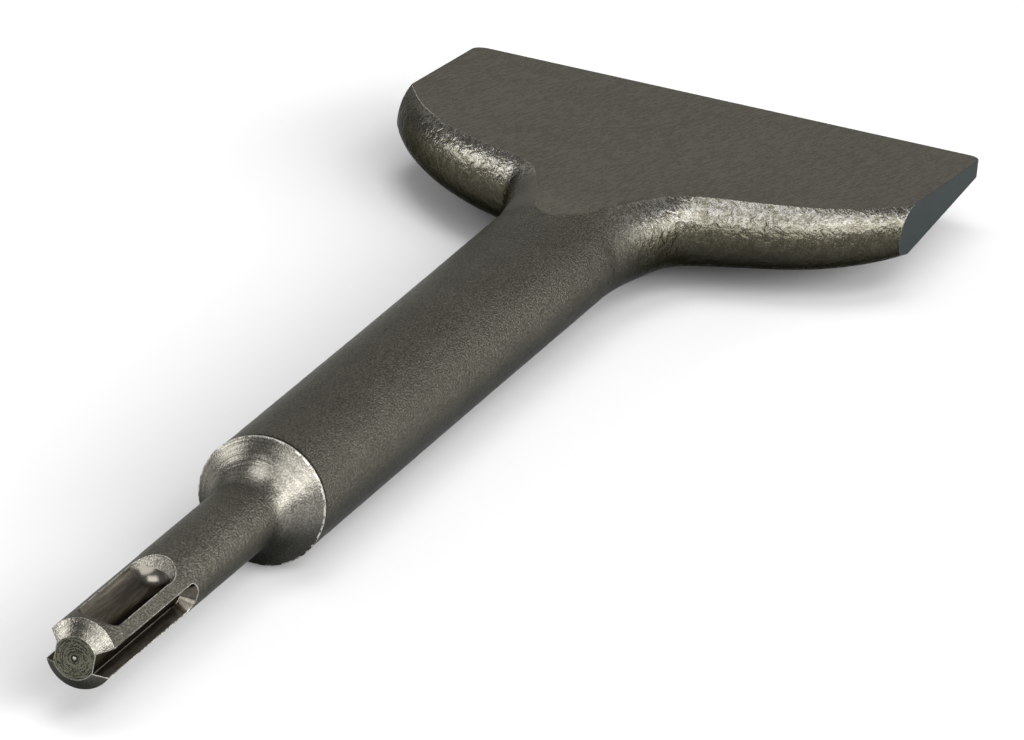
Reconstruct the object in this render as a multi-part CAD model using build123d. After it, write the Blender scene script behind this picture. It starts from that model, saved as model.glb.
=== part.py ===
"""Wide flat chisel for a rotary hammer, forged in one piece from a round bar.

Millimetres. The origin is the centre of the shank's end face, +Y runs along
the axis to the cutting edge, +X lies along the edge and +Z is up.
"""
import math
import os

from build123d import *

# Overall
total_length = 250.0
blade_width = 80.0

# Shank
shank_radius = 5.0
lead_in_radius = 4.95       # the grooved end tapers a little so that it enters its holder
lead_in_end = 31.5
end_face_radius = 3.0
end_chamfer_length = 2.0

# Closed pockets for the locking balls
pocket_width = 6.0
pocket_ball_radius = 3.5
pocket_near_end = 6.5       # centre of the first ball position
pocket_far_end = 23.6       # centre of the last ball position
pocket_ramp_floor_radius = 2.4
pocket_ramp_depth = 1.7
pocket_ramp_angle = 48.0
pocket_turn = 9.0           # degrees that the pockets are turned round the axis

# Open drive slots
slot_mouth_width = 4.7
slot_floor_width = 2.8
slot_floor_radius = 2.8     # distance of the floor from the axis
slot_end = 28.0             # centre of the round far end
slot_turn = 5.0             # degrees that the slots are turned round the axis

# Turned collar and round body
collar_rim = 65.0
collar_blend_radius = 10.0
collar_rim_radius = 9.2
collar_rim_width = 0.3
body_radius = 9.1
body_end = 118.0

# Forged neck, seen from above
neck_half_thickness = 7.35
neck_overlap = 1.5          # the ground faces reach this far back past the start of the flare
flare_radius = 48.5
flare_turn = 22.5
corner_radius = 5.3
corner_turn = 43.0

# The two forged halves differ a little, because the dies leave the head off centre
right_half = dict(neck_half_width=9.8, run=10.6, radius=31.7, turn=48.0)
left_half = dict(neck_half_width=10.0, run=3.5, radius=41.5, turn=40.0)
side_run = 10.0

# Section of the forged edge: a half-oval that bulges lowest below the middle
round_fullness = 0.5523     # lengths of the curve handles that give a circle
neck_fullness = 0.63
nose_fullness = 0.68
nose_low_fullness = 0.59
nose_depth_ratio = 1.5     # depth of the half-oval over the ground half thickness
nose_drop = 0.9
forging_allowance = 1.16    # forged thickness over ground thickness
shaft_stations = 6
forged_stations = 14

# Ground faces
edge_thickness = 2.4
face_slope = 0.08           # rise of each flat face per millimetre from the edge
edge_corner_radius = 2.0


def ground_height(y):
    """Height of the upper ground face over the middle plane at y."""
    return edge_thickness / 2 + face_slope * (total_length - y)


def smooth(share):
    """Share from 0 to 1, eased at both ends."""
    share = min(max(share, 0.0), 1.0)
    return share * share * (3 - 2 * share)


# The ground faces run out on the neck where they are as high as the forging
face_end = total_length - (neck_half_thickness - edge_thickness / 2) / face_slope
neck_start = face_end + neck_overlap


def turned_end():
    """Shank and collar, turned about the axis."""
    rise = collar_rim_radius - shank_radius
    blend_length = math.sqrt(collar_blend_radius**2 - (collar_blend_radius - rise) ** 2)
    blend_start = collar_rim - blend_length
    half_angle = math.asin(blend_length / collar_blend_radius) / 2
    blend_point = (
        shank_radius + collar_blend_radius * (1 - math.cos(half_angle)),
        blend_start + collar_blend_radius * math.sin(half_angle),
    )
    rim_back = collar_rim + collar_rim_width
    shank = Polyline(
        (0, rim_back),
        (0, 0),
        (end_face_radius, 0),
        (lead_in_radius, end_chamfer_length),
        (shank_radius, lead_in_end),
        (shank_radius, blend_start),
    )
    blend = ThreePointArc((shank_radius, blend_start), blend_point, (collar_rim_radius, collar_rim))
    rim = Polyline((collar_rim_radius, collar_rim), (collar_rim_radius, rim_back), (0, rim_back))
    return revolve(make_face([shank, blend, rim]), Axis.Y)


def ball_pocket():
    """Round-bottomed pocket on the +Z side, with a steep ramp at its far end."""
    half_width = pocket_width / 2
    rim_height = math.sqrt(shank_radius**2 - half_width**2)
    ball_height = rim_height + math.sqrt(pocket_ball_radius**2 - half_width**2)
    ball_top = ball_height + pocket_ball_radius
    near_tip = (0, pocket_near_end - pocket_ball_radius, ball_height)
    far_tip = (0, pocket_far_end + pocket_ball_radius, ball_height)
    near_top = (0, pocket_near_end, ball_top)
    far_top = (0, pocket_far_end, ball_top)
    outline = [
        Line(near_tip, far_tip),
        TangentArc(far_top, far_tip, tangent=(0, 1, 0)),
        Line(near_top, far_top),
        TangentArc(near_top, near_tip, tangent=(0, -1, 0)),
    ]
    groove = revolve(make_face(outline), Axis(near_tip, (0, 1, 0)))
    ramp_rise = 3.0
    ramp_top_radius = pocket_ramp_floor_radius + ramp_rise * math.tan(math.radians(pocket_ramp_angle))
    ramp_floor = shank_radius - pocket_ramp_depth
    ramp = Pos(0, pocket_far_end, ramp_floor + ramp_rise / 2) * Cone(
        pocket_ramp_floor_radius, ramp_top_radius, ramp_rise
    )
    return groove + ramp


def drive_slot():
    """Slot on the +X side, open at the end face, with tapered flanks and a round end."""
    depth = shank_radius - slot_floor_radius
    flank = (slot_mouth_width - slot_floor_width) / 2 / depth
    reach = depth + 1.0
    mouth_half = slot_floor_width / 2 + flank * reach
    section = Plane.XZ * Polygon(
        (slot_floor_radius, -slot_floor_width / 2),
        (slot_floor_radius + reach, -mouth_half),
        (slot_floor_radius + reach, mouth_half),
        (slot_floor_radius, slot_floor_width / 2),
        align=None,
    )
    slot = Pos(0, slot_end, 0) * extrude(section, slot_end + 1.0)
    round_end = Pos(slot_floor_radius + reach / 2, slot_end, 0) * Rot(0, 90, 0) * Cone(
        slot_floor_width / 2, mouth_half, reach
    )
    return slot + round_end


def half_oval(depth, half_thickness, drop, fullness, low_fullness):
    """Outer line of the forged edge in its section, from the bottom round to the top."""
    low = Bezier(
        (0, -half_thickness),
        (depth * low_fullness, -half_thickness),
        (depth, -drop - (half_thickness - drop) * low_fullness),
        (depth, -drop),
    )
    high = Bezier(
        (depth, -drop),
        (depth, -drop + (half_thickness + drop) * fullness),
        (depth * fullness, half_thickness),
        (0, half_thickness),
    )
    return low, high


def forged_shaft():
    """Body behind the neck, round at the collar and drawn down to a flat oval."""
    sections = []
    start = collar_rim + collar_rim_width / 2
    for station in range(shaft_stations + 1):
        y = start + (neck_start - start) * station / shaft_stations
        drawn = smooth((y - body_end) / (neck_start - body_end))
        half_thickness = body_radius + (neck_half_thickness - body_radius) * drawn
        fullness = round_fullness + (neck_fullness - round_fullness) * drawn
        oval = []
        for half, side in ((right_half, 1), (left_half, -1)):
            half_width = body_radius + (half["neck_half_width"] - body_radius) * drawn
            low, high = half_oval(half_width, half_thickness, 0, fullness, fullness)
            oval += [low, high] if side > 0 else [mirror(high, Plane.YZ), mirror(low, Plane.YZ)]
        sections.append(Plane(origin=(0, y, 0), x_dir=(1, 0, 0), z_dir=(0, -1, 0)) * make_face(oval))
    return loft(sections)


def forged_half(neck_half_width, run, radius, turn):
    """Neck and shoulder on the +X side, and the plan points of the web beside them."""
    flare = JernArc((neck_half_width, neck_start), (0, 1), flare_radius, -flare_turn)
    corner = JernArc(flare @ 1, flare % 1, corner_radius, -corner_turn)
    straight = PolarLine(corner @ 1, run, direction=corner % 1)
    shoulder = JernArc(straight @ 1, straight % 1, radius, turn)
    side = PolarLine(shoulder @ 1, side_run, direction=shoulder % 1)
    path = Wire([flare, corner, straight, shoulder, side])
    neck_share = (flare.length + corner.length) / path.length
    sections = []
    web_points = []
    for station in range(forged_stations + 1):
        share = station / forged_stations
        point = path @ share
        tangent = path % share
        outward = Vector(tangent.Y, -tangent.X)
        formed = smooth(share / neck_share)
        ground = ground_height(point.Y)
        depth = nose_depth_ratio * ground * formed
        if formed < 1:
            depth += point.X / outward.X * (1 - formed)
        half_thickness = min(neck_half_thickness, forging_allowance * ground)
        fullness = neck_fullness + (nose_fullness - neck_fullness) * formed
        low_fullness = neck_fullness + (nose_low_fullness - neck_fullness) * formed
        low, high = half_oval(depth, half_thickness, nose_drop * formed, fullness, low_fullness)
        centre = point - outward * depth
        plane = Plane(origin=centre, x_dir=outward, z_dir=-tangent)
        sections.append(plane * make_face([low, high, Line(high @ 1, low @ 0)]))
        inside = centre + outward * depth * (0.6 if station == forged_stations else 0.25)
        web_points.append((inside.X, inside.Y))
    return loft(sections), web_points


def chisel():
    """The whole chisel, one solid."""
    right, right_web = forged_half(**right_half)
    left, left_web = forged_half(**left_half)
    side = blade_width / 2 + 1.0
    outline = [(0.0, neck_start)] + right_web[1:] + [(side, total_length + 1.0)]
    outline += [(-side, total_length + 1.0)] + [(-x, y) for x, y in reversed(left_web[1:])]
    web_height = neck_half_thickness - 0.05
    web = extrude(make_face(Polyline(*outline, close=True)), web_height, both=True)
    blank = turned_end() + forged_shaft() + right + mirror(left, Plane.YZ) + web

    y_back = -1.0
    wedge = Plane.YZ * Polygon(
        (total_length, -ground_height(total_length)),
        (total_length, ground_height(total_length)),
        (y_back, ground_height(y_back)),
        (y_back, -ground_height(y_back)),
        align=None,
    )
    ground = blank & extrude(wedge, blade_width / 2, both=True)

    for half_turn in (0, 180):
        ground -= Rot(0, pocket_turn + half_turn, 0) * ball_pocket()
        ground -= Rot(0, slot_turn + half_turn, 0) * drive_slot()
    corners = ground.edges().filter_by(Axis.Z).group_by(Axis.Y)[-1]
    return fillet(corners, edge_corner_radius)


os.makedirs("parts", exist_ok=True)
export_step(chisel(), "parts/chisel.step")
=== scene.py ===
import math

import bmesh
import bpy
from mathutils import Matrix, Vector


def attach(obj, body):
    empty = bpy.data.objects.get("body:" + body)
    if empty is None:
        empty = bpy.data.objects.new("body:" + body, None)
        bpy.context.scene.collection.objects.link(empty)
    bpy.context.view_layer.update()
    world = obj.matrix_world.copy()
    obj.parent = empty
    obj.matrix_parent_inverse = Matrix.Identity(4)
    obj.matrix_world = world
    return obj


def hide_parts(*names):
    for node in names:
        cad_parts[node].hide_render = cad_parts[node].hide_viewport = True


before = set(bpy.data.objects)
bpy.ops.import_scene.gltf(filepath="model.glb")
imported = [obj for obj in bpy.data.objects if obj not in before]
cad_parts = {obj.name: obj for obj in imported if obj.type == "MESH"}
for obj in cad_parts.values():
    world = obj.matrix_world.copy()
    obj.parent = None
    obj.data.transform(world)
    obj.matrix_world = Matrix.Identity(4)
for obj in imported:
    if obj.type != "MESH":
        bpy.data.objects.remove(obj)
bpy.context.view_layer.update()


# The chisel is one piece: a bar forged flat at one end and turned down at the other.
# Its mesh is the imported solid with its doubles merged, shaded smooth within each finish
# and sharp where two finishes meet, because there the real one has a ground or turned edge.
FORGED, GROUND, SIDE, TURNED, MILLED = range(5)

end_radius = 0.0030
shank_radius = 0.0050
chamfer_end_y = 0.0020
groove_end_y = 0.0315
pocket_turn = math.radians(9.0)
ramp_centre_y = 0.0236
ramp_floor_radius = 0.0024
ramp_floor_height = 0.0033
ramp_angle = math.radians(48.0)
rim_front_y = 0.0650
rim_back_y = 0.0653
rim_radius = 0.0092
cutting_edge_y = 0.2500
edge_half_thickness = 0.0012
face_slope = 0.08
blade_side_x = 0.0400
opening_half_width = 0.0011
opening_start_y = 0.1740
opening_end_y = 0.1770

hair = 0.00001                      # well under the distance between any two finishes
ramp_tolerance = 0.0002
lean_tolerance = 0.05
least_groove_depth = 0.0003
least_outward_on_chamfer = 0.6
least_outward_on_shank = 0.95
level_enough = 0.99
upright_enough = 0.1
widest_smooth_turn = math.radians(28.0)

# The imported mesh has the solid's surfaces as patches that aren't joined to each other.
# They are numbered before they are joined, so that each can take one finish as a whole.
shape = bmesh.new()
shape.from_mesh(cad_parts["chisel"].data)
patch_number = shape.faces.layers.int.new("patch_number")
patches_found = 0
for first_face in shape.faces:
    if first_face[patch_number]:
        continue
    patches_found += 1
    first_face[patch_number] = patches_found
    reached = [first_face]
    while reached:
        for edge in reached.pop().edges:
            for face in edge.link_faces:
                if not face[patch_number]:
                    face[patch_number] = patches_found
                    reached.append(face)
bmesh.ops.remove_doubles(shape, verts=shape.verts, dist=1e-6)


def in_opening(face):
    """Whether a facet is a wall of the thin opening that the solid leaves beside its axis."""
    middle = face.calc_center_median()
    near = abs(middle.x) < opening_half_width and opening_start_y < middle.y < opening_end_y
    return near and abs(face.normal.z) < upright_enough


# The real forging is closed there, so the opening's walls go and both its mouths are filled.
walls = [face for face in shape.faces if in_opening(face)]
bmesh.ops.delete(shape, geom=walls, context="FACES_KEEP_BOUNDARY")
mouths = [edge for edge in shape.edges if edge.is_boundary]
bmesh.ops.holes_fill(shape, edges=mouths, sides=0)
loose_edges = [edge for edge in shape.edges if not edge.link_faces]
bmesh.ops.delete(shape, geom=loose_edges, context="EDGES")


def on_ramp(face, middle):
    """Whether a facet lies on the steep ramp at a pocket's far end, which is as rough as the skin."""
    across = middle.x * math.cos(pocket_turn) - middle.z * math.sin(pocket_turn)
    depthwise = abs(middle.x * math.sin(pocket_turn) + middle.z * math.cos(pocket_turn))
    past_floor = math.hypot(middle.y - ramp_centre_y, across) - ramp_floor_radius
    off_ramp = abs(past_floor - (depthwise - ramp_floor_height) * math.tan(ramp_angle))
    lean = abs(face.normal.x * math.sin(pocket_turn) + face.normal.z * math.cos(pocket_turn))
    return off_ramp < ramp_tolerance and abs(lean - math.sin(ramp_angle)) < lean_tolerance


def in_groove(face, middle):
    """Whether a facet of the turned end lies in one of its milled grooves."""
    if not hair < middle.y < groove_end_y or on_ramp(face, middle):
        return False
    radius = math.hypot(middle.x, middle.z)
    past_chamfer = min(middle.y / chamfer_end_y, 1.0)
    depth = end_radius + (shank_radius - end_radius) * past_chamfer - radius
    outward = (face.normal.x * middle.x + face.normal.z * middle.z) / radius
    least_outward = least_outward_on_chamfer if past_chamfer < 1.0 else least_outward_on_shank
    return depth > least_groove_depth or outward < least_outward


def finish_of(face):
    """Number of the finish that a facet of the solid has."""
    middle = face.calc_center_median()
    face_height = edge_half_thickness + face_slope * (cutting_edge_y - middle.y)
    if in_groove(face, middle):
        return MILLED
    if middle.y < rim_front_y + hair:
        return TURNED
    if abs(middle.x) > blade_side_x - hair:
        return SIDE
    if middle.y > cutting_edge_y - hair:
        return GROUND
    if abs(abs(middle.z) - face_height) < hair and abs(face.normal.z) > level_enough:
        return GROUND
    return FORGED


areas_of_patch = {}
for face in shape.faces:
    areas = areas_of_patch.setdefault(face[patch_number], [0.0] * 5)
    areas[finish_of(face)] += face.calc_area()
for face in shape.faces:
    areas = areas_of_patch[face[patch_number]]
    face.material_index = areas.index(max(areas))
    face.smooth = True
for edge in shape.edges:
    finishes = {face.material_index for face in edge.link_faces}
    edge.smooth = len(finishes) == 1 and edge.calc_face_angle(0) < widest_smooth_turn
chisel_mesh = bpy.data.meshes.new("forged_chisel")
shape.to_mesh(chisel_mesh)
shape.free()
chisel = bpy.data.objects.new("forged_chisel", chisel_mesh)
bpy.context.scene.collection.objects.link(chisel)
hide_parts("chisel")
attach(chisel, "root")


# The body and the shoulders keep their forged skin, blasted to a fine even grain with
# beige glints. The shoulders are hammered a little wavy and rub brighter on their crests.
skin_tint = (0.41, 0.415, 0.41)
dull_skin = (0.086, 0.081, 0.067)
glinting_skin = (0.150, 0.142, 0.117)
lit_rubbed_hollow = (0.140, 0.131, 0.102)
lit_rubbed_crest = (0.290, 0.283, 0.262)
shaded_olive_hollow = (0.085, 0.078, 0.053)
shaded_olive_crest = (0.175, 0.163, 0.118)
left_tip_painted_shade = (0.042, 0.039, 0.031)
saddle_painted_light = (0.150, 0.142, 0.122)
body_painted_shade = (0.035, 0.038, 0.039)
shoulder_painted_shade = (0.025, 0.024, 0.018)
painted_shade_behind_rim = (0.02, 0.02, 0.018)
worn_shoulder_edge_and_highlight = (0.45, 0.44, 0.40)
bare_burr_and_highlight = (0.85, 0.81, 0.72)
bare_rim_and_highlight = (0.55, 0.53, 0.48)


class Shade:
    """One socket of a material's nodes, on which arithmetic adds Math nodes."""

    def __init__(self, tree, socket=None):
        self.tree = tree
        self.socket = socket

    def make(self, kind, settings, sockets, output=0):
        """Adds a node with its settings, feeds its sockets and gives one output."""
        made = self.tree.nodes.new(kind)
        for name, value in settings.items():
            setattr(made, name, value)
        for name, value in sockets.items():
            if isinstance(value, Shade):
                self.tree.links.new(value.socket, made.inputs[name])
            else:
                made.inputs[name].default_value = value
        return Shade(self.tree, made.outputs[output])

    def math(self, operation, *values):
        """A Math node on this tree."""
        return self.make("ShaderNodeMath", {"operation": operation}, dict(enumerate(values)))

    def __add__(self, other):
        return self.math("ADD", self, other)

    __radd__ = __add__

    def __sub__(self, other):
        return self.math("SUBTRACT", self, other)

    def __rsub__(self, other):
        return self.math("SUBTRACT", other, self)

    def __mul__(self, other):
        return self.math("MULTIPLY", self, other)

    __rmul__ = __mul__

    def __pow__(self, other):
        return self.math("POWER", self, other)

    def __abs__(self):
        return self.math("ABSOLUTE", self)

    def rise(self, low, high):
        """Smooth step from 0 at low to 1 at high."""
        sockets = {"Value": self, "From Min": low, "From Max": high}
        return self.make("ShaderNodeMapRange", {"interpolation_type": "SMOOTHSTEP"}, sockets)

    def fall(self, low, high):
        """Smooth step from 1 at low to 0 at high."""
        return 1.0 - self.rise(low, high)

    def band(self, start, full_from, full_to, end):
        """1 from full_from to full_to, and 0 before start and past end."""
        return self.rise(start, full_from) * self.fall(full_to, end)

    def blend(self, first, second):
        """Colour that goes from first to second as this value goes from 0 to 1."""
        # A Mix node numbers its sockets over all its data types. These are the colour's.
        factor, colour_a, colour_b, mixed_colour = 0, 6, 7, 2
        colours = [c if isinstance(c, Shade) else (*c, 1.0) for c in (first, second)]
        sockets = {factor: self, colour_a: colours[0], colour_b: colours[1]}
        return self.make("ShaderNodeMix", {"data_type": "RGBA"}, sockets, mixed_colour)


def steel_material(name, slot, edge_tint):
    """New steel in a slot of the chisel: its shader, with its tint at a glancing angle, and place."""
    material = bpy.data.materials.new(name)
    material.use_nodes = True
    tree = material.node_tree
    tree.nodes.clear()
    output = tree.nodes.new("ShaderNodeOutputMaterial")
    shader = tree.nodes.new("ShaderNodeBsdfPrincipled")
    tree.links.new(shader.outputs[0], output.inputs["Surface"])
    shader.inputs["Metallic"].default_value = 1.0
    shader.inputs["Specular Tint"].default_value = (*edge_tint, 1.0)
    place = Shade(tree).make("ShaderNodeTexCoord", {}, {}, "Object")
    while len(chisel.data.materials) <= slot:
        chisel.data.materials.append(None)
    chisel.data.materials[slot] = material
    return shader, place


def feed(shader, name, value):
    """Links a value to a socket of a shader."""
    value.tree.links.new(value.socket, shader.inputs[name])


def parts_of(place):
    """The three coordinates of a place."""
    return [place.make("ShaderNodeSeparateXYZ", {}, {0: place}, axis) for axis in range(3)]


def noise(place, scale, detail=2.0, roughness=0.5, lengths=(1, 1, 1), turn=0.0, warp=0.0):
    """Noise of this many cells to the metre, stretched by lengths along axes turned about Z."""
    turned = {0: place, "Scale": lengths, "Rotation": (0, 0, math.radians(turn))}
    mapped = place.make("ShaderNodeMapping", {"vector_type": "TEXTURE"}, turned)
    sockets = {
        "Vector": mapped,
        "Scale": scale,
        "Detail": detail,
        "Roughness": roughness,
        "Distortion": warp,
    }
    return place.make("ShaderNodeTexNoise", {}, sockets)


def rounded_edges(place, radius):
    """Normal of the surface with its edges rounded."""
    return place.make("ShaderNodeBevel", {"samples": 8}, {"Radius": radius})


def edge_wear_and_highlight(rounded):
    """1 along the edges, where the rounded normal leaves the plain one, and 0 elsewhere."""
    plain = rounded.make("ShaderNodeNewGeometry", {}, {}, "Normal")
    settings = {"operation": "DOT_PRODUCT"}
    alike = rounded.make("ShaderNodeVectorMath", settings, {0: rounded, 1: plain}, "Value")
    return (1.0 - alike).rise(0.004, 0.05)


def bumped(height, rounded):
    """Normal of a surface with this height over it in metres."""
    sockets = {"Height": height, "Distance": 1.0, "Normal": rounded}
    return height.make("ShaderNodeBump", {}, sockets)


def over_neck(y):
    """1 over the neck, where the body's forging runs into the head's without an edge."""
    return y.band(0.1700, 0.1735, 0.1900, 0.1950)


forged_shader, place = steel_material("blasted_forged_steel", FORGED, skin_tint)
x, y, z = parts_of(place)
grain = noise(place, scale=4400, roughness=0.65, lengths=(1, 2, 1))
clouds = noise(place, scale=90)
creases = noise(place, scale=1000, detail=1.5, roughness=0.55, lengths=(1.33, 1, 1), warp=0.7)
lumps = noise(place, scale=300)

neck = over_neck(y)
shoulder = y.rise(0.174, 0.192)
shaded_left_tip = x.fall(-0.037, -0.026)
# Painted light: the saddle on top of the neck's left side is painted lighter.
painted_lit_saddle = neck * y.rise(0.1735, 0.1800) * z.rise(0.0030, 0.0052) * x.fall(-0.007, 0.001)
# Painted shade: the forged steel is painted darker towards its underside, the shoulders more so.
painted_underside_shade = z.fall(-0.0035, 0.0020 + shoulder * 0.0028)
# The collar's narrow rim is painted bright: bare turned steel, and partly a painted highlight.
rim = y.fall(rim_back_y + 0.00002, rim_back_y + 0.0001)
# Painted shade: the step just behind the collar's rim is painted nearly black.
rim_step_shade = y.fall(rim_back_y + 0.0003, rim_back_y + 0.0009) * (1.0 - rim)

rounded = rounded_edges(place, 0.0002 + neck * 0.0030)
wear_and_highlight = edge_wear_and_highlight(rounded)
# Edge wear and painted highlight: the shoulders' edges are painted bright in broken streaks.
worn_and_lit = wear_and_highlight * noise(place, scale=1100, roughness=0.6).rise(0.40, 0.54) * (1.0 - neck) * shoulder
# Burr and painted highlight: a broken bright line is painted along the left tip's top edge.
left_corner = x.fall(-0.033, -0.030) * z.rise(0.0, 0.001)
burr_and_highlight = wear_and_highlight.rise(0.0, 0.12) * left_corner * noise(place, scale=1300, roughness=0.6).rise(0.42, 0.50)

glints = (grain * 0.9 + clouds * 0.1).rise(0.43, 0.61)
crests = (creases * 0.4 + grain * 0.6).rise(0.42, 0.60)
skin = glints.blend(dull_skin, glinting_skin)
# Painted light and shade: the shoulders are painted lighter at the top and darker and more olive
# lower down.
lit_upper_shoulder = crests.blend(lit_rubbed_hollow, lit_rubbed_crest)
shaded_lower_shoulder = crests.blend(shaded_olive_hollow, shaded_olive_crest)
rubbed_lit_and_shaded = z.fall(0.0005, 0.0042).blend(lit_upper_shoulder, shaded_lower_shoulder)
# Painted shade: the left shoulder's tip is painted darker.
rubbed_lit_and_shaded = (shaded_left_tip * 0.6).blend(rubbed_lit_and_shaded, left_tip_painted_shade)
painted_shade_below = shoulder.blend(body_painted_shade, shoulder_painted_shade)
colour = (painted_underside_shade * (0.7 + shoulder * 0.27)).blend(shoulder.blend(skin, rubbed_lit_and_shaded), painted_shade_below)
colour = painted_lit_saddle.blend(colour, saddle_painted_light)
colour = rim_step_shade.blend(colour, painted_shade_behind_rim)
colour = worn_and_lit.blend(colour, worn_shoulder_edge_and_highlight)
colour = burr_and_highlight.blend(colour, bare_burr_and_highlight)
feed(forged_shader, "Base Color", rim.blend(colour, bare_rim_and_highlight))
roughness = 0.31 - shoulder * 0.04 - rim * 0.03 + painted_lit_saddle * 0.10 + (grain - 0.5) * 0.2
feed(forged_shader, "Roughness", roughness)
grain_height = grain * (0.00018 - shoulder * 0.00014)
hammered_height = shoulder * (creases * 0.00019 + lumps * 0.00022)
feed(forged_shader, "Normal", bumped(grain_height + hammered_height, rounded))


# The two broad faces and the cutting edge are ground flat. The wheel leaves short fine
# scratches that run slantwise over the face, and a few pits of the skin are left in it.
face_tint = (0.62, 0.60, 0.56)
ground_hollow = (0.049, 0.046, 0.039)
ground_crest = (0.099, 0.095, 0.082)
run_out_hollow = (0.064, 0.060, 0.050)
run_out_crest = (0.115, 0.109, 0.091)
worn_cutting_edge_and_highlight = (0.30, 0.29, 0.26)

ground_shader, place = steel_material("ground_face_steel", GROUND, face_tint)
y = parts_of(place)[1]
scratches = noise(place, scale=2700, detail=1.0, lengths=(1, 11, 1), turn=-8, warp=0.1)
pits = noise(place, scale=2400, roughness=0.6, lengths=(1, 2, 1))
clouds = noise(place, scale=60)
run_out = y.fall(0.176, 0.192)
rounded = rounded_edges(place, 0.0002 + over_neck(y) * 0.0022)
# Edge wear and painted highlight: a bright line is painted along the cutting edge.
worn_and_lit = edge_wear_and_highlight(rounded) * y.rise(cutting_edge_y - 0.0015, cutting_edge_y - 0.0010)
marks = (scratches * 0.6 + pits * 0.3 + clouds * 0.1).rise(0.40, 0.60)
ground = marks.blend(ground_hollow, ground_crest)
colour = run_out.blend(ground, marks.blend(run_out_hollow, run_out_crest))
feed(ground_shader, "Base Color", worn_and_lit.blend(colour, worn_cutting_edge_and_highlight))
feed(ground_shader, "Roughness", 0.40 + (scratches - 0.5) * 0.3)
height = scratches * 0.00003 + pits * (0.00003 + run_out * 0.0001)
feed(ground_shader, "Normal", bumped(height, rounded))


# The blade's two sides are cut square across after the faces and ground smooth. They have
# the bluish cast of fresh steel, and only faint lines along the blade.
side_tint = (0.52, 0.55, 0.55)
side_hollow = (0.036, 0.039, 0.038)
side_crest = (0.050, 0.054, 0.053)

side_shader, place = steel_material("ground_side_steel", SIDE, side_tint)
scratches = noise(place, scale=3000, lengths=(1, 12, 1))
feed(side_shader, "Base Color", scratches.rise(0.3, 0.7).blend(side_hollow, side_crest))
feed(side_shader, "Roughness", 0.34 + (scratches - 0.5) * 0.15)
feed(side_shader, "Normal", bumped(scratches * 0.000006, rounded_edges(place, 0.0002)))


# The shank and the collar's hollow cone are turned from the bar in one cut, so fine rings
# run round them. The end face has the turner's rings and the pip that the tool leaves.
dull_turned = (0.093, 0.088, 0.073)
glinting_turned = (0.172, 0.164, 0.136)
bright_hollow = (0.160, 0.152, 0.130)
bright_crest = (0.290, 0.277, 0.241)
shank_painted_shade = (0.029, 0.030, 0.028)
collar_burr_and_highlight = (0.6, 0.58, 0.53)
worn_shank_edge_and_highlight = (0.50, 0.48, 0.43)
ring_hollow = (0.030, 0.030, 0.022)
ring_crest = (0.138, 0.136, 0.104)
pip_painted_highlight = (0.5, 0.49, 0.44)
pip_shadow = (0.02, 0.02, 0.017)
worn_end_edge_and_highlight = (0.4, 0.39, 0.34)


def round_axis(along, x, z, unevenness):
    """Place that changes along a cut and only a little round the axis, as a turner's rings do."""
    return along.make("ShaderNodeCombineXYZ", {}, {0: along, 1: x * unevenness, 2: z * unevenness})


turned_shader, place = steel_material("turned_shank_steel", TURNED, skin_tint)
x, y, z = parts_of(place)
radius = (x * x + z * z) ** 0.5
rings = noise(round_axis(y * 0.6 + radius * 0.8, x, z, 0.03), scale=2600, roughness=0.6)
face_rings = noise(round_axis(radius, x, z, 0.12), scale=5600, roughness=0.6)
grain = noise(place, scale=4200, roughness=0.65, lengths=(1, 2, 1))

end_face = y.fall(hair, 5 * hair)
# Painted highlight and shadow: the pip is painted bright and the ring round its foot dark.
pip = radius.fall(0.00012, 0.00030)
pip_foot = radius.band(0.00025, 0.00035, 0.00045, 0.00060)
chamfer = y.fall(chamfer_end_y - 0.0001, chamfer_end_y + 0.00005)
pocket_mouth = z.rise(0.001, 0.002) * y.band(0.0024, 0.0030, 0.0060, 0.0085)
ramp = radius.fall(0.0047, 0.0049) * y.band(0.010, 0.012, 0.029, 0.030)
cone = y.rise(0.056, 0.060)
ringed = cone * (1.0 - x.rise(-0.003, 0.003) * 0.75)
# Painted shade: the turned steel is painted darker towards its underside.
painted_underside_shade = z.fall(-0.0040, 0.0025)
# Burr and painted highlight: a broken bright line is painted just before the collar's rim.
burr_and_highlight = y.rise(rim_front_y - 0.00018, rim_front_y - 0.00008)
burr_and_highlight = burr_and_highlight * noise(place, scale=900, roughness=0.6).rise(0.42, 0.56)

rounded = rounded_edges(place, 0.00028)
# Edge wear and painted highlight: the shank's and end face's edges are painted bright in broken
# streaks.
worn_and_lit = edge_wear_and_highlight(rounded) * noise(place, scale=1500, roughness=0.6).rise(0.32, 0.46)
worn_and_lit = worn_and_lit * (1.0 - cone) * (1.0 - pocket_mouth)

glints = (rings * (0.2 + ringed * 0.3) + grain * (0.8 - ringed * 0.3)).rise(0.43, 0.61)
skin = glints.blend(dull_turned, glinting_turned)
bright = glints.blend(bright_hollow, bright_crest)
colour = (painted_underside_shade * 0.88).blend((cone + chamfer + ramp).blend(skin, bright), shank_painted_shade)
colour = burr_and_highlight.blend(colour, collar_burr_and_highlight)
colour = worn_and_lit.blend(colour, worn_shank_edge_and_highlight)
end_colour = (face_rings * 0.5 + grain * 0.5).rise(0.43, 0.57).blend(ring_hollow, ring_crest)
end_colour = pip.blend(end_colour, pip_painted_highlight)
end_colour = pip_foot.blend(end_colour, pip_shadow)
end_colour = worn_and_lit.blend(end_colour, worn_end_edge_and_highlight)
feed(turned_shader, "Base Color", end_face.blend(colour, end_colour))
feed(turned_shader, "Roughness", 0.31 - cone * 0.03 - chamfer * 0.07 + (grain - 0.5) * 0.2)
grain_height = grain * (0.00018 - cone * 0.00014 - chamfer * 0.00012) * (1.0 - end_face)
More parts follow.
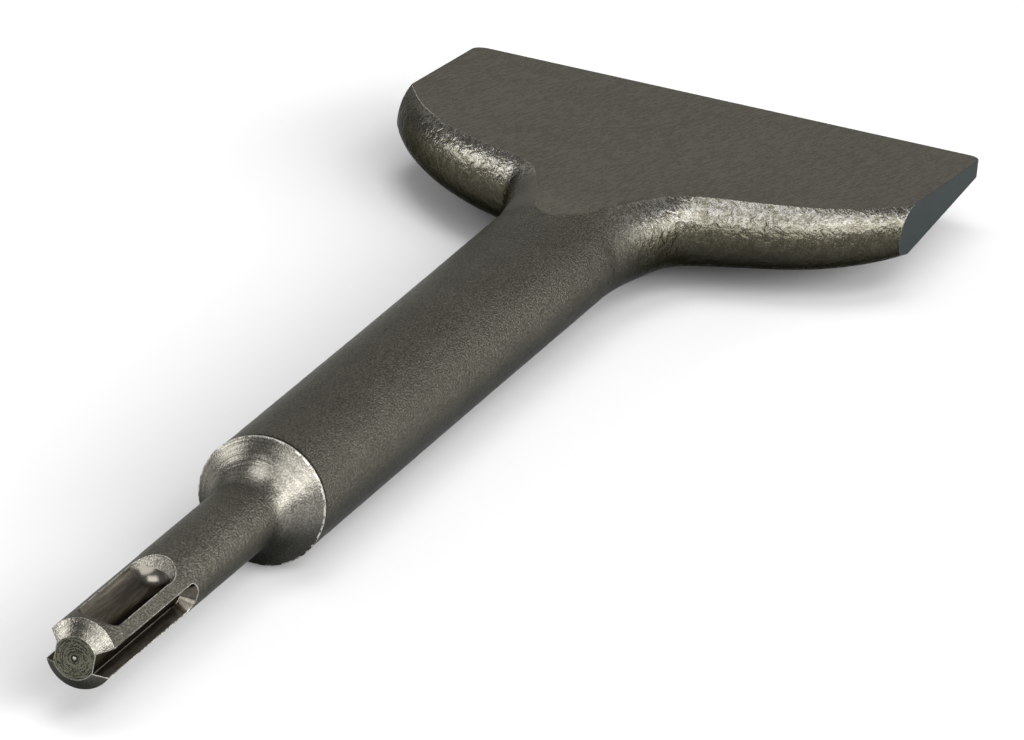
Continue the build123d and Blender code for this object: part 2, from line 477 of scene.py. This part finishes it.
end_height = end_face * (face_rings * 0.00010 + pip * 0.00025)
height = rings * ringed * 0.00008 + grain_height + end_height
feed(turned_shader, "Normal", bumped(height, rounded))


# The pockets and slots in the shank's end are milled after turning. They were not blasted,
# so their floors stay smooth and dark.
groove_tint = (0.3, 0.3, 0.3)
milled_hollow = (0.082, 0.074, 0.061)
milled_crest = (0.115, 0.105, 0.088)
pocket_start_floor = (0.150, 0.142, 0.117)
groove_end_painted_highlight = (0.185, 0.173, 0.149)

milled_shader, place = steel_material("milled_groove_steel", MILLED, groove_tint)
x, y, z = parts_of(place)
marks = noise(place, scale=3000, roughness=0.6, lengths=(1, 12, 1))
pocket_start = z.rise(0.001, 0.002) * y.fall(0.0045, 0.0085)
# Painted highlight: the far ends of the pockets and slots are painted brighter.
groove_end_highlight = y.rise(0.0228, 0.0245) * abs(z).rise(0.0019, 0.0023)
at_skin = ((x * x + z * z) ** 0.5).rise(0.0044, 0.0047)
rounded = rounded_edges(place, 0.00025)
# Edge wear and painted highlight: the grooves' edges at the shank's skin are painted bright in broken
# streaks.
worn_and_lit = edge_wear_and_highlight(rounded) * noise(place, scale=1500, roughness=0.6).rise(0.36, 0.50)
worn_and_lit = worn_and_lit * at_skin * (1.0 - pocket_start)
colour = marks.rise(0.35, 0.65).blend(milled_hollow, milled_crest)
colour = pocket_start.blend(colour, pocket_start_floor)
colour = groove_end_highlight.blend(colour, groove_end_painted_highlight)
feed(milled_shader, "Base Color", worn_and_lit.blend(colour, worn_shank_edge_and_highlight))
feed(milled_shader, "Roughness", 0.22 + pocket_start * 0.12 + (marks - 0.5) * 0.08)
feed(milled_shader, "Normal", bumped(marks * 0.000006, rounded))


# The floor is a plain pale sheet under the chisel, level with the lowest point of the
# collar's rim. It is matt, so that it shows the chisel's soft shadow and no reflection.
floor_half_side = 4.0
floor_grey = 0.74
floor_roughness = 0.9

floor_mesh = bpy.data.meshes.new("floor")
sheet = bmesh.new()
bmesh.ops.create_grid(sheet, x_segments=1, y_segments=1, size=floor_half_side)
bmesh.ops.translate(sheet, verts=sheet.verts, vec=(0, 0, -rim_radius))
sheet.to_mesh(floor_mesh)
sheet.free()
floor = bpy.data.objects.new("floor", floor_mesh)
bpy.context.scene.collection.objects.link(floor)
pale = bpy.data.materials.new("pale_floor")
pale.use_nodes = True
pale_shader = pale.node_tree.nodes["Principled BSDF"]
pale_shader.inputs["Base Color"].default_value = (floor_grey, floor_grey, floor_grey, 1.0)
pale_shader.inputs["Roughness"].default_value = floor_roughness
pale_shader.inputs["Specular IOR Level"].default_value = 0.0
floor.data.materials.append(pale)


# The lamps are soft boxes round the blade: two long ones and a small low one at the right,
# a small one overhead, one at the left and a faint long one past the cutting edge. A dim
# grey surround fills in between them.
lamp_target = Vector((0.0, 0.15, 0.0))
lamp_distance = 1.2
surround = (0.27, 0.27, 0.275, 1.0)


def soft_box(name, azimuth, elevation, width, height, brightness):
    """Area lamp that faces the chisel, with the given brightness of its own surface.

    Azimuth 0 is past the cutting edge and 90 past the blade's right side.
    """
    data = bpy.data.lights.new(name, "AREA")
    data.shape = "RECTANGLE"
    data.size = width
    data.size_y = height
    data.energy = brightness * math.pi * width * height
    lamp = bpy.data.objects.new(name, data)
    bpy.context.scene.collection.objects.link(lamp)
    turn = math.radians(azimuth)
    rise = math.radians(elevation)
    level = math.cos(rise)
    towards = Vector((math.sin(turn) * level, math.cos(turn) * level, math.sin(rise)))
    lamp.location = lamp_target + towards * lamp_distance
    lamp.rotation_euler = towards.to_track_quat("Z", "Y").to_euler()
    lamp.visible_camera = False


soft_box("right_box", azimuth=108, elevation=27, width=2.9, height=0.50, brightness=4.7)
soft_box("high_right_box", azimuth=115, elevation=57, width=1.7, height=0.60, brightness=2.4)
soft_box("back_right_box", azimuth=50, elevation=8, width=0.8, height=0.4, brightness=3.0)
soft_box("overhead_box", azimuth=-30, elevation=77, width=0.7, height=0.7, brightness=3.2)
soft_box("left_box", azimuth=-101, elevation=24, width=0.42, height=0.62, brightness=5.6)
soft_box("back_box", azimuth=-12, elevation=18, width=2.2, height=0.7, brightness=0.8)

world = bpy.data.worlds.new("studio")
world.use_nodes = True
world.node_tree.nodes["Background"].inputs["Color"].default_value = surround
bpy.context.scene.world = world
bpy.context.scene.view_settings.view_transform = "Standard"


# The camera stands behind the shank's end, to the right and above, and looks down along
# the chisel from far off with a long lens, as for a catalogue picture.
camera_place = (0.497288, -1.311147, 0.584274)
camera_right = Vector((0.93010412, 0.35371101, 0.09896896))
camera_up = Vector((-0.21434928, 0.30391154, 0.92827375))

view = bpy.data.cameras.new("camera")
view.sensor_width = 36.0
view.lens = 412.608
view.clip_end = 20.0
camera = bpy.data.objects.new("camera", view)
bpy.context.scene.collection.objects.link(camera)
axes = Matrix((camera_right, camera_up, camera_right.cross(camera_up))).transposed()
camera.matrix_world = Matrix.Translation(camera_place) @ axes.to_4x4()
bpy.context.scene.camera = camera
